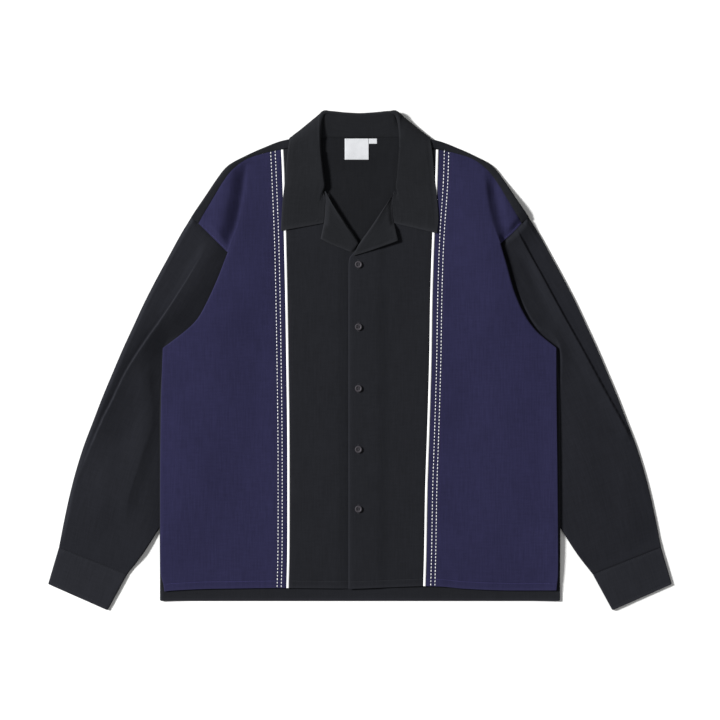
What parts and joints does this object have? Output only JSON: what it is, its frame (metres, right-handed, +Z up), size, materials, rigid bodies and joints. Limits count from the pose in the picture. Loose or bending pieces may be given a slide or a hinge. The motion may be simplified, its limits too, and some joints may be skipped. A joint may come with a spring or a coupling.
{
  "type": "shirt jacket",
  "caption": "Long-sleeved shirt jacket with a notched collar, navy side panels and white piping, buttoned and laid flat.",
  "frame": {"origin": "under the middle of the garment's outline, on the surface it lies on", "axes": "+Y from the hem towards the collar, +X towards the wearer's left, +Z up out of the garment's front"},
  "size_m": [0.9668, 0.7727, 0.0183],
  "materials": {
    "black_cloth": "matt woven cloth with a fine vertical slub",
    "collar_cloth": "the same cloth, interlined and pressed",
    "navy_cloth": "matt woven cloth with white pick stitches",
    "piping": "white corded strip",
    "label_cloth": "blank woven label",
    "button_plastic": "dark satin resin"
  },
  "bodies": {
    "root": {"back": "black_cloth", "front_centre_left": "black_cloth", "front_centre_right": "black_cloth", "front_side_left": "navy_cloth", "front_side_right": "navy_cloth", "piping_left": "piping", "piping_right": "piping", "sleeve_left": "black_cloth", "sleeve_right": "black_cloth", "cuff_left": "black_cloth", "cuff_right": "black_cloth", "lapel_left": "collar_cloth", "lapel_right": "collar_cloth", "collar": "collar_cloth", "label": "label_cloth", "size_tab": "label_cloth", "button_1": "button_plastic", "button_2": "button_plastic", "button_3": "button_plastic", "button_4": "button_plastic", "button_5": "button_plastic"}
  },
  "joints": []
}
